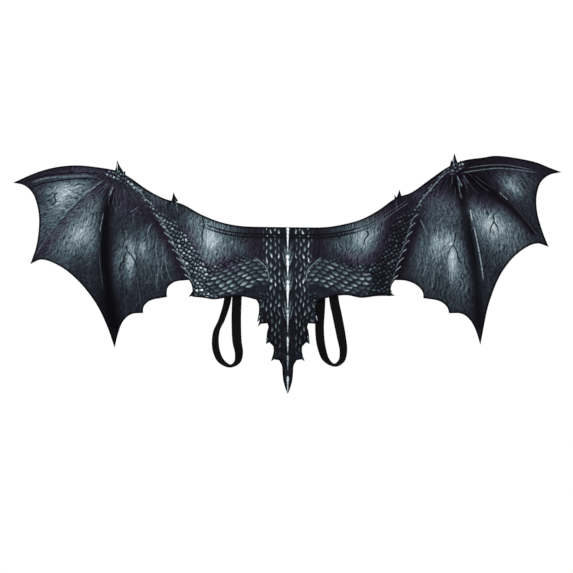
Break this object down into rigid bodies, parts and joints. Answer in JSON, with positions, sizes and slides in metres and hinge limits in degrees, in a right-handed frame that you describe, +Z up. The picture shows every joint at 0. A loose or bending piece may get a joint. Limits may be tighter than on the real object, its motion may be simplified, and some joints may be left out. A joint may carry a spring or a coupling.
{
  "type": "costume dragon wings",
  "caption": "Flat felt dragon wings in one sheet with scalloped edges, claws, a spiny tail point, a hemmed neckline and elastic arm loops.",
  "frame": {"origin": "nape: centre of the neckline, in the middle of the sheet's thickness", "axes": "+X along the wingspan to the wearer's right, +Y from the printed face to the wearer's back, +Z up"},
  "size_m": [1.4207, 0.0316, 0.6243],
  "materials": {
    "printed_felt": "printed felt with a dragon hide pattern",
    "plain_felt": "plain black felt",
    "elastic_webbing": "woven black elastic"
  },
  "bodies": {
    "root": {"wing_sheet": "printed_felt", "top_hem": "plain_felt", "left_strap": "elastic_webbing", "right_strap": "elastic_webbing"}
  },
  "joints": []
}
